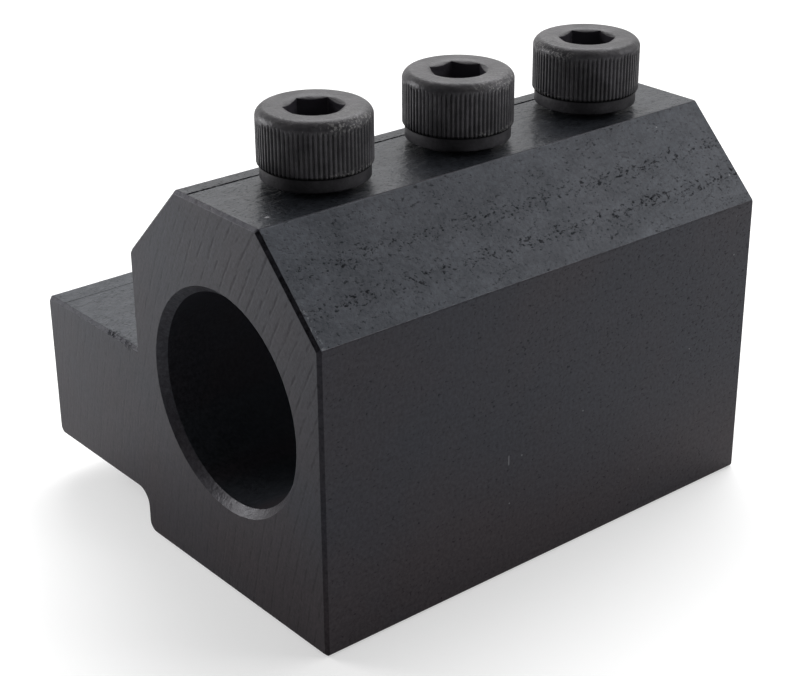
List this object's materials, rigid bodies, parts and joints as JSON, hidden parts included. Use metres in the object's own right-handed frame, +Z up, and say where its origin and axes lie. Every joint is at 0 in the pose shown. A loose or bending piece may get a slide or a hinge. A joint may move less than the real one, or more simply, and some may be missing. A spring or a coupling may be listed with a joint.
{
  "type": "static axial tool holder block",
  "caption": "Steel tool holder block with a round through bore, a foot along one side and a row of knurled cap screws on top that clamp the tool's shank.",
  "frame": {"origin": "middle of the block's underside, below the bore's axis and halfway along the block", "axes": "+X across the block, away from the foot; +Y along the bore, from its mouth inwards; +Z up, towards the clamp screws"},
  "size_m": [0.0568, 0.0674, 0.0563],
  "materials": {
    "blackened_steel": "milled and blackened, satin",
    "screw_steel": "black oxide, worn grey on the crown"
  },
  "bodies": {
    "holder": {"holder_body": "blackened_steel"},
    "front_screw": {"clamp_screw_front": "screw_steel"},
    "middle_screw": {"clamp_screw_middle": "screw_steel"},
    "rear_screw": {"clamp_screw_rear": "screw_steel"}
  },
  "joints": [
    {"name": "front_screw_travel", "type": "slide", "parent": "holder", "child": "front_screw", "axis": [0, 0, 1], "range_m": [-0.00065, 0.0075]},
    {"name": "middle_screw_travel", "type": "slide", "parent": "holder", "child": "middle_screw", "axis": [0, 0, 1], "range_m": [-0.00065, 0.0075]},
    {"name": "rear_screw_travel", "type": "slide", "parent": "holder", "child": "rear_screw", "axis": [0, 0, 1], "range_m": [-0.00065, 0.0075]}
  ]
}
